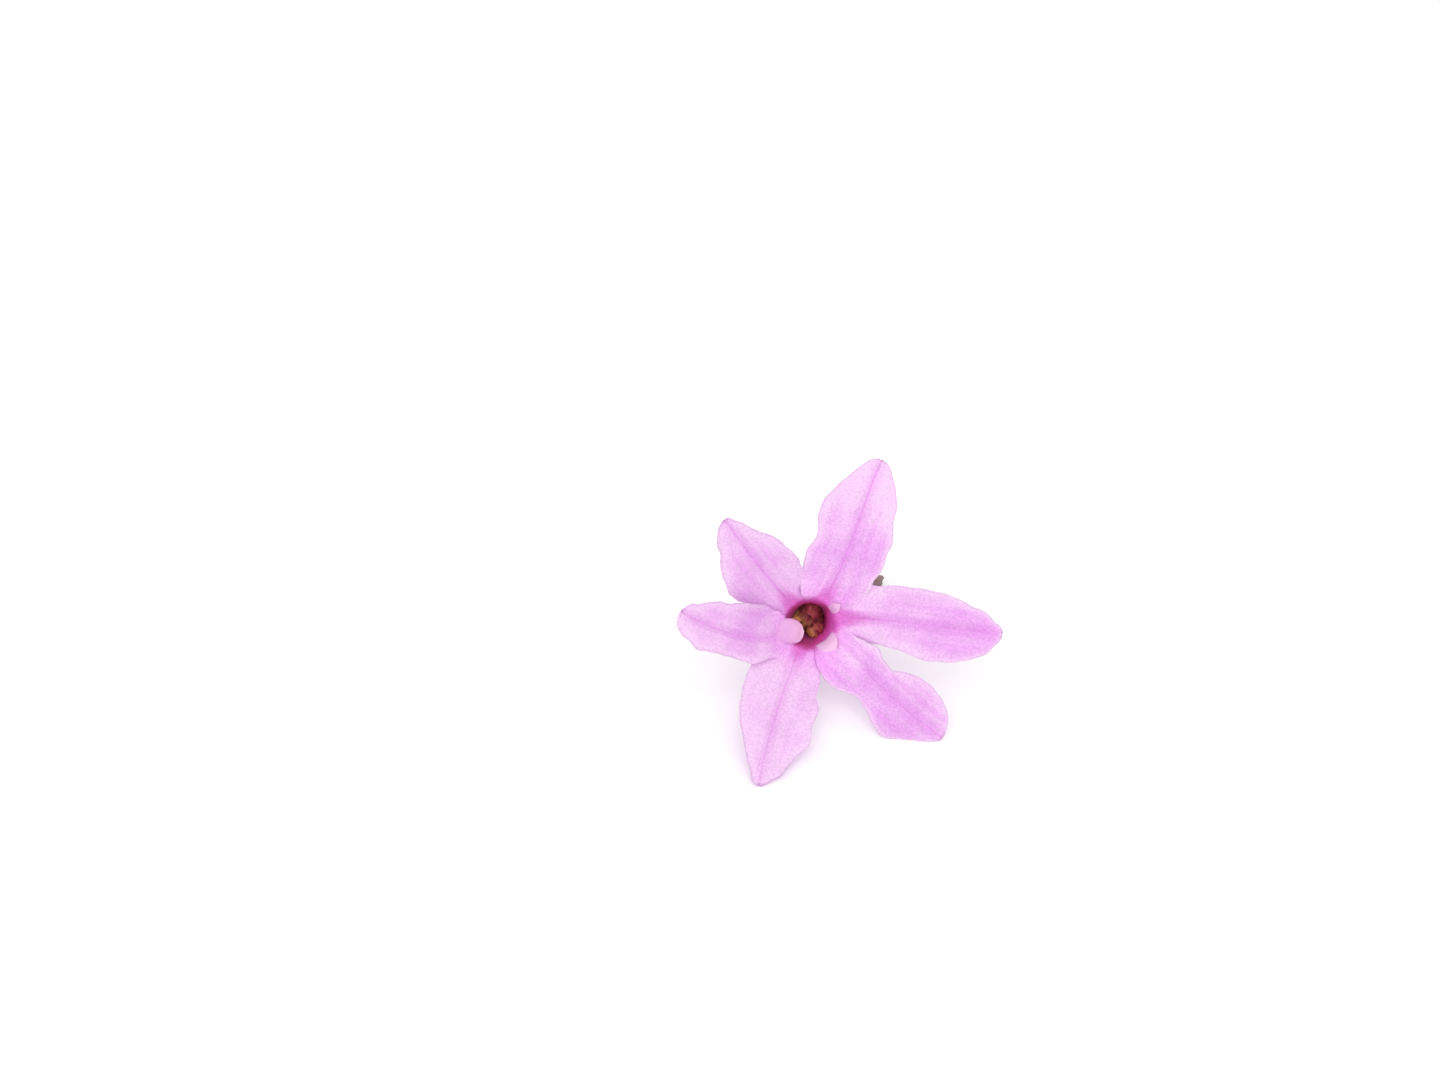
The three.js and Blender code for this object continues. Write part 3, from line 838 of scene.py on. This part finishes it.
def stalk():
    skin = Skin()
    a, b, c, d = stalk_points
    steps, sides = 70, 28
    rows = []
    for i in range(steps + 1):
        u = i / steps
        v = 1 - u
        centre = a * v**3 + b * (3 * v * v * u) + c * (3 * v * u * u) + d * u**3
        along = ((b - a) * v * v + (c - b) * 2 * v * u + (d - c) * u * u).normalized()
        across = along.cross(axis).normalized()
        over = across.cross(along)
        radius = blend(stalk_top_radius, stalk_radius, smooth(u / stalk_taper_end))
        row = []
        for j in range(sides):
            turn = 2 * pi * j / sides
            knobs = noise.noise(Vector((cos(turn), sin(turn), 7 * u)))
            ridges = 1 + 0.05 * cos(6 * turn) + 0.06 * knobs
            tear = noise.noise(Vector((cos(turn), sin(turn), 3)) * 2)
            torn = along * (torn_height * tear * smooth(u * 10 - 9))
            arm = across * cos(turn) + over * sin(turn)
            row.append(skin.point(centre + arm * (radius * ridges) + torn, rise=u))
        rows.append(row + [row[0]])
    skin.grid(rows)
    for row, u in ((rows[0], 0.0), (rows[-1], 1.0)):
        middle = skin.point(a if u == 0 else d, rise=u)
        for j in range(sides):
            skin.faces.append((middle, row[j], row[j + 1]))
    return skin.make("stalk", Matrix())


stem = stalk()

# %% [markdown]
# ## Writing a shader as a sum
#
# A colour pattern is a calculation: how dark is the vein here, how pale is the edge? Wiring such
# sums node by node is hard to read. The class below wraps one socket, so that `1 - mask * 0.5`
# adds the Math nodes by itself. Every other kind of node comes from its one method `node`.


# %% Shader helper
class Wire:
    """An output of a node, which can be used in sums like a number."""

    def __init__(self, tree, socket=None):
        self.tree = tree
        self.socket = socket

    def node(self, kind, settings=None, inputs=None, output=0):
        """Adds a node: first its settings, then the values or links of its sockets."""
        made = self.tree.nodes.new("ShaderNode" + kind)
        for name, setting in (settings or {}).items():
            setattr(made, name, setting)
        for name, value in (inputs or {}).items():
            if isinstance(value, Wire):
                self.tree.links.new(value.socket, made.inputs[name])
            else:
                made.inputs[name].default_value = value
        return Wire(self.tree, made.outputs[output])

    def other(self, output):
        """Another output of the same node."""
        return Wire(self.tree, self.socket.node.outputs[output])

    def math(self, operation, *terms):
        return self.node("Math", {"operation": operation}, dict(enumerate(terms)))

    def __add__(self, other):
        return self.math("ADD", self, other)

    def __radd__(self, other):
        return self.math("ADD", other, self)

    def __sub__(self, other):
        return self.math("SUBTRACT", self, other)

    def __rsub__(self, other):
        return self.math("SUBTRACT", other, self)

    def __mul__(self, other):
        return self.math("MULTIPLY", self, other)

    def __rmul__(self, other):
        return self.math("MULTIPLY", other, self)

    def __truediv__(self, other):
        return self.math("DIVIDE", self, other)

    def __abs__(self):
        return self.math("ABSOLUTE", self)

    def rise(self, low, high):
        """0 up to low, 1 from high on, and a soft S between them."""
        return self.node("MapRange", {"interpolation_type": "SMOOTHSTEP"},
                         {"Value": self, "From Min": low, "From Max": high})

    def mark(self, name, output="Fac"):
        """A value that the mesh keeps at its points."""
        return self.node("Attribute", {"attribute_name": name}, output=output)

    def three_marks(self, name):
        """The three values of a mark that holds three."""
        parts = self.node("SeparateXYZ", inputs={0: self.mark(name, "Vector")})
        return parts, parts.other(1), parts.other(2)

    def speckle(self, place, scale, detail):
        return self.node("TexNoise", inputs={"Vector": place, "Scale": scale, "Detail": detail})

    def bump(self, strength, height_mm, height):
        return self.node("Bump", inputs={
            "Strength": strength, "Distance": height_mm * MM, "Height": height})

    def scaled(self, factor):
        """A colour made darker or brighter."""
        return self.node("VectorMath", {"operation": "SCALE"}, {0: self, "Scale": factor})

    def tinted(self, under, over):
        """Mixes two colours: under where this value is 0 and over where it is 1."""
        return self.node("Mix", {"data_type": "RGBA"}, {0: self, 6: under, 7: over}, output=2)


light_gain = 1.1


def colour(red, green, blue):
    """A colour as it looks in the photograph, from 0 to 255, as the share of light it reflects.

    The photograph is lit brighter than white paper, so a surface reflects less than it seems to.
    """
    linear = [((part / 255 + 0.055) / 1.055) ** 2.4 / light_gain for part in (red, green, blue)]
    return (*linear, 1.0)


def new_material(name):
    material = bpy.data.materials.new(name)
    material.use_nodes = True
    material.node_tree.nodes.clear()
    return material, Wire(material.node_tree)


def finish_material(shade, surface):
    made = shade.tree.nodes.new("ShaderNodeOutputMaterial")
    shade.tree.links.new(surface.socket, made.inputs["Surface"])


def texture_place(shade, stretch=(1, 1, 1)):
    """Places on the object, in millimetres, stretched along X, Y and Z."""
    place = shade.node("TexCoord", output="Object")
    stretch = [factor / MM for factor in stretch]
    return shade.node("Mapping", inputs={"Vector": place, "Scale": stretch})


print("a lilac of 239, 182, 243 reflects", [round(part, 2) for part in colour(239, 182, 243)[:3]])

# %% [markdown]
# ## Petal colour
#
# Seen closely, a petal of this flower is a pale lilac that is never even. A darker vein runs down
# the middle, with fainter ones beside it. The edges and some tips are almost white. Towards the
# mouth the lilac turns pink and then magenta, and runs out along the veins, and inside the throat
# it is dark wine red. Painted shade carries the dark further out at the upper right, at the left
# and below, and least far on the lit right wall. The back is paler, and the tube is striped purple.
#
# The mesh says where we are: `blade` holds the distance from the mouth, from the middle vein and
# from the edge, and `habit` and `marks` hold what differs from petal to petal; `marks` also holds
# how far the throat's painted shade reaches. Each part of the pattern is one sum of those. Fine
# noise stands for the skin's tiny cells and flecks the colour lighter and darker, a painted
# sparkle.

# %% Petal colour
petal_material, shade = new_material("petal")
run, aside_vein, margin = shade.three_marks("blade")
throat_run, paleness, pale_tip = shade.three_marks("habit")
vein_from, reach, on_face = shade.three_marks("marks")
from_vein = abs(aside_vein)
tip_run = run / 14.2

skin_place = texture_place(shade)
clouds = shade.speckle(skin_place, 0.35, 3)
grain = shade.speckle(skin_place, 7, 2)
along_veins = {0: run * 0.12, 1: aside_vein * 2.6, 2: throat_run}
streaks = shade.speckle(shade.node("CombineXYZ", inputs=along_veins), 1, 3)

DEEP = colour(231, 165, 235)
PALE = colour(250, 220, 249)
VEIN = colour(229, 150, 230)
PINK = colour(220, 122, 207)
MAGENTA = colour(220, 92, 190)
WINE = colour(222, 58, 138)

pale = streaks.rise(0.3, 0.7) * 0.35 + clouds.rise(0.35, 0.65) * 0.4
pale = pale + (1 - margin.rise(0.0, 1.0)) * run.rise(1.0, 4.0) * 0.45
pale = pale + paleness + tip_run.rise(0.4, 0.9) * pale_tip
vein_start = (run - vein_from).rise(0.0, 1.5)
pale = pale + (1 - vein_start) * (1 - from_vein.rise(0.1, 0.9)) * 0.6
petal_colour = pale.rise(-0.2, 1.4).tinted(DEEP, PALE)
petal_colour = ((1 - margin.rise(0.06, 0.3)) * 0.9).tinted(petal_colour, colour(253, 236, 251))
# Deeper lilac at the feet, stronger where the throat's painted shade reaches further.
foot = (1 - run.rise(1.3, 5.0)) * (0.55 + reach * 0.5)
petal_colour = foot.tinted(petal_colour, colour(233, 157, 233))
vein_fade = 1 - tip_run.rise(0.8, 0.95)
vein = (1 - from_vein.rise(0.02, 0.16)) * 0.45 + (1 - from_vein.rise(0.1, 0.75)) * 0.25
petal_colour = (vein * vein_start * vein_fade * (1.1 - paleness * 0.5)).tinted(petal_colour, VEIN)
side_veins = (1 - abs(from_vein - 0.45).rise(0.05, 0.25)) * (1 - run.rise(1.5, 5.5))
side_veins = side_veins * throat_run.rise(2.0, 4.5)
petal_colour = (side_veins * 0.5).tinted(petal_colour, colour(230, 130, 220))

pinkness = 1 - (run / throat_run + from_vein * 0.7).rise(0.5, 1.1)
petal_colour = (pinkness * 0.95).tinted(petal_colour, PINK)
magenta_end = throat_run * 0.3 + 0.7
petal_colour = (1 - (run + from_vein * 0.3).rise(-0.2, magenta_end)).tinted(petal_colour, MAGENTA)
# Dark wine red inside the throat; how far out it reaches round the mouth is painted shade.
petal_colour = (1 - (run - reach).rise(-1.0, 0.75)).tinted(petal_colour, WINE)
# Painted shade: a darker wine over the throat where the shade reaches furthest.
throat_painted_shade = (1 - (run - reach).rise(-1.0, 0.9)) * reach.rise(-0.2, 0.5)
petal_colour = throat_painted_shade.tinted(petal_colour, colour(168, 66, 118))
# Painted sparkle: the fine noise flecks the face lighter and darker.
face_colour = petal_colour.scaled(grain.rise(0.3, 0.7) * 0.24 + 0.88)

# %% [markdown]
# ## Back of the petals and outside of the tube
#
# The outside has its own colours, so the last number of `marks` picks between two sums. The tube
# is a dusty pink-lilac. Purple stripes follow its ribs and break up into dashes. The closed end
# fades to a paler pink, and greys where the stalk joins it.

# %% Back colour
TUBE = colour(226, 162, 218)
STRIPE = colour(190, 114, 182)
dashes_place = shade.node("CombineXYZ", inputs={0: run * 0.5, 1: aside_vein * 6, 2: 3.0})
dashes = shade.speckle(dashes_place, 1, 4)
back_colour = (streaks.rise(0.3, 0.7) * 0.4).tinted(colour(240, 192, 244), colour(249, 216, 250))
back_colour = ((1 - from_vein.rise(0.05, 0.5)) * 0.45).tinted(back_colour, colour(222, 154, 226))
on_tube = 1 - run.rise(-2.4, 1.2)
stripes = (dashes.rise(0.42, 0.62) * 0.7 + (1 - from_vein.rise(0.05, 0.4)) * 0.4) * 0.8
tube_colour = stripes.tinted(TUBE, STRIPE)
closed_end = 1 - run.rise(-11.6, -9.0)
tube_colour = (closed_end * 0.7).tinted(tube_colour, colour(236, 186, 218))
tube_colour = ((1 - run.rise(-11.55, -11.1)) * 0.6).tinted(tube_colour, colour(184, 150, 158))
back_colour = on_tube.tinted(back_colour, tube_colour)
# Painted sparkle on the back as well, fainter.
back_colour = back_colour.scaled(grain.rise(0.3, 0.7) * 0.16 + 0.92)
skin_colour = on_face.rise(0.4, 0.6).tinted(back_colour, face_colour)

# %% [markdown]
# ## Petal light
#
# A petal is thin enough for light to pass through, so a diffuse surface alone looks like plaster.
# Translucent light from behind is mixed in: a third on the petals, half at their edges and almost
# none in the thick tube. The surface itself is a soft satin. A bump from the fine noise breaks up
# its shine as the cells of the real skin do.

# %% Petal surface
cells = shade.speckle(skin_place, 11, 2)
bump = shade.bump(0.35, 0.05, cells * 0.6 + streaks * 0.8)
satin = shade.node("BsdfPrincipled", inputs={
    "Base Color": skin_colour, "Roughness": 0.6, "Specular IOR Level": 0.2, "Normal": bump})
glow = shade.node("BsdfTranslucent", inputs={"Color": colour(240, 172, 240), "Normal": bump})
thin = run.rise(1.0, 6.0) * 0.25 + 0.05 + (1 - margin.rise(0.0, 0.25)) * 0.2
finish_material(shade, shade.node("MixShader", inputs={0: thin, 1: satin, 2: glow}))
flower.data.materials.append(petal_material)

# %% [markdown]
# ## The small pieces' colours
#
# The scales are the palest pink of the flower, with a fine rough skin. The anthers are brown and
# olive, mottled by pollen, painted paler where light falls at the lower left and painted in dark
# wine red shade at the upper right. The pistil is a fresh green. The stalk is a dull green-brown
# that dries to a greyish mauve at its torn end.

# %% Scale material
scale_material, shade = new_material("scale")
place = texture_place(shade)
rise = shade.mark("rise")
mottle = shade.speckle(place, 1.8, 3)
grain = shade.speckle(place, 8, 2)
scale_colour = (mottle.rise(0.4, 0.7) * 0.5).tinted(colour(243, 188, 230), colour(236, 166, 218))
scale_colour = (1 - rise.rise(0.25, 0.85)).tinted(scale_colour, colour(238, 180, 236))
scale_colour = shade.mark("paleness").tinted(scale_colour, colour(252, 212, 242))
scale_colour = (rise.rise(0.85, 1.0) * 0.8).tinted(scale_colour, colour(250, 208, 240))
scale_colour = (grain.rise(0.4, 0.7) * 0.25).tinted(scale_colour, colour(252, 222, 240))
bump = shade.bump(0.3, 0.04, grain)
satin = shade.node("BsdfPrincipled", inputs={
    "Base Color": scale_colour, "Roughness": 0.5, "Specular IOR Level": 0.3, "Normal": bump})
glow = shade.node("BsdfTranslucent", inputs={"Color": colour(246, 190, 234), "Normal": bump})
finish_material(shade, shade.node("MixShader", inputs={0: 0.25, 1: satin, 2: glow}))
corona.data.materials.append(scale_material)

# %% Anther material
anther_material, shade = new_material("anther")
place = texture_place(shade)
patches = shade.speckle(place, 3, 3)
pollen = shade.speckle(place, 9, 2)
pouch = shade.mark("pouch")
sunny = shade.mark("sunny")
anther_colour = patches.rise(0.4, 0.6).tinted(colour(146, 46, 68), colour(152, 76, 66))
# Painted shade: dark wine red on the side away from the light, at the upper right.
anther_colour = ((1 - sunny.rise(-1.3, -0.1)) * 0.7).tinted(anther_colour, colour(116, 26, 46))
# Pale olive patches of pollen, crowded onto the lit lower left as painted light.
lit_pale_patches = (patches * 0.8 + sunny).rise(0.4, 1.2)
anther_colour = lit_pale_patches.tinted(anther_colour, colour(188, 128, 78))
anther_colour = (pollen.rise(0.5, 0.7) * 0.35).tinted(anther_colour, colour(196, 130, 116))
# Painted shade: darker along the groove between the two pouches.
anther_colour = ((1 - pouch.rise(0.05, 0.3)) * 0.35).tinted(anther_colour, colour(130, 44, 60))
bump = shade.bump(0.6, 0.05, pollen)
finish_material(shade, shade.node("BsdfPrincipled", inputs={
    "Base Color": anther_colour, "Roughness": 0.75, "Specular IOR Level": 0.2, "Normal": bump}))
stamens.data.materials.append(anther_material)

# %% Pistil material
pistil_material, shade = new_material("pistil")
rise = shade.mark("rise")
mottle = shade.speckle(texture_place(shade), 4, 3)
pistil_colour = mottle.rise(0.35, 0.65).tinted(colour(150, 176, 92), colour(178, 198, 120))
pistil_colour = rise.rise(2.4, 3.2).tinted(pistil_colour, colour(226, 226, 180))
bump = shade.bump(0.3, 0.05, mottle)
finish_material(shade, shade.node("BsdfPrincipled", inputs={
    "Base Color": pistil_colour, "Roughness": 0.4, "Normal": bump}))
green.data.materials.append(pistil_material)

# %% Stalk material
stalk_material, shade = new_material("stalk")
rise = shade.mark("rise")
fibres = shade.node("TexNoise", inputs={"Vector": texture_place(shade, (0.6, 5, 5)), "Detail": 3})
spots = shade.speckle(texture_place(shade), 5, 3)
stalk_colour = fibres.rise(0.35, 0.65).tinted(colour(150, 134, 98), colour(183, 160, 132))
stalk_colour = (1 - rise.rise(0.0, 0.25)).tinted(stalk_colour, colour(196, 132, 176))
stalk_colour = (rise.rise(0.8, 0.97) * 0.8).tinted(stalk_colour, colour(138, 110, 116))
stalk_colour = (spots.rise(0.55, 0.7) * 0.5).tinted(stalk_colour, colour(120, 84, 92))
bump = shade.bump(0.5, 0.08, fibres)
finish_material(shade, shade.node("BsdfPrincipled", inputs={
    "Base Color": stalk_colour, "Roughness": 0.65, "Normal": bump}))
stem.data.materials.append(stalk_material)
print(len(bpy.data.materials), "materials")

# %% [markdown]
# ## What each piece stands for
#
# Each fine piece is hung from the root, and the solid that it takes the place of is hidden. The
# petals, the scales and the anthers are one grown thing, so all three stand for the same solid.

# %% Tie the pieces to the frame
for piece, node, finish in (
    (flower, "perianth", "petal"),
    (corona, "perianth", "petal"),
    (stamens, "perianth", "petal"),
    (green, "pistil", "pistil"),
    (stem, "pedicel", "stalk"),
):
    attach(piece, "root")
    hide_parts(node)

# %% [markdown]
# ## Surface and light
#
# The flower was photographed on white, in so much soft light that the paper turns pure white and
# the shadows stay faint. A bright white sky gives most of the light. One large lamp, in front and
# above, lights the throat and shades the petals just enough to show how they bend.

# %% Floor and light
floor_half = 1.5
sky_strength = 1.03
lamp_width = 0.4
lamp_power = 1.0
lamp_place = Vector((0.0, -0.36, 0.33))

floor_mesh = bpy.data.meshes.new("floor")
corners = [(-floor_half, -floor_half, 0), (floor_half, -floor_half, 0),
           (floor_half, floor_half, 0), (-floor_half, floor_half, 0)]
floor_mesh.from_pydata(corners, [], [(0, 1, 2, 3)])
floor = bpy.data.objects.new("floor", floor_mesh)
bpy.context.collection.objects.link(floor)
floor_material, shade = new_material("white surface")
paper = shade.node("TexNoise", inputs={"Vector": texture_place(shade), "Scale": 0.5})
paper_colour = paper.tinted((0.9, 0.9, 0.9, 1), (0.93, 0.93, 0.93, 1))
finish_material(shade, shade.node("BsdfPrincipled", inputs={
    "Base Color": paper_colour, "Roughness": 0.9, "Specular IOR Level": 0.1}))
floor_mesh.materials.append(floor_material)

world = bpy.data.worlds.new("soft white light")
world.use_nodes = True
sky = world.node_tree.nodes["Background"]
sky.inputs["Color"].default_value = (1, 1, 1, 1)
sky.inputs["Strength"].default_value = sky_strength
bpy.context.scene.world = world

lamp = bpy.data.objects.new("lamp", bpy.data.lights.new("lamp", "AREA"))
lamp.data.shape = "DISK"
lamp.data.size = lamp_width
lamp.data.energy = lamp_power
lamp.location = lamp_place
lamp.rotation_euler = (-lamp_place).to_track_quat("-Z", "Y").to_euler()
bpy.context.collection.objects.link(lamp)
bpy.context.scene.view_settings.view_transform = "Standard"
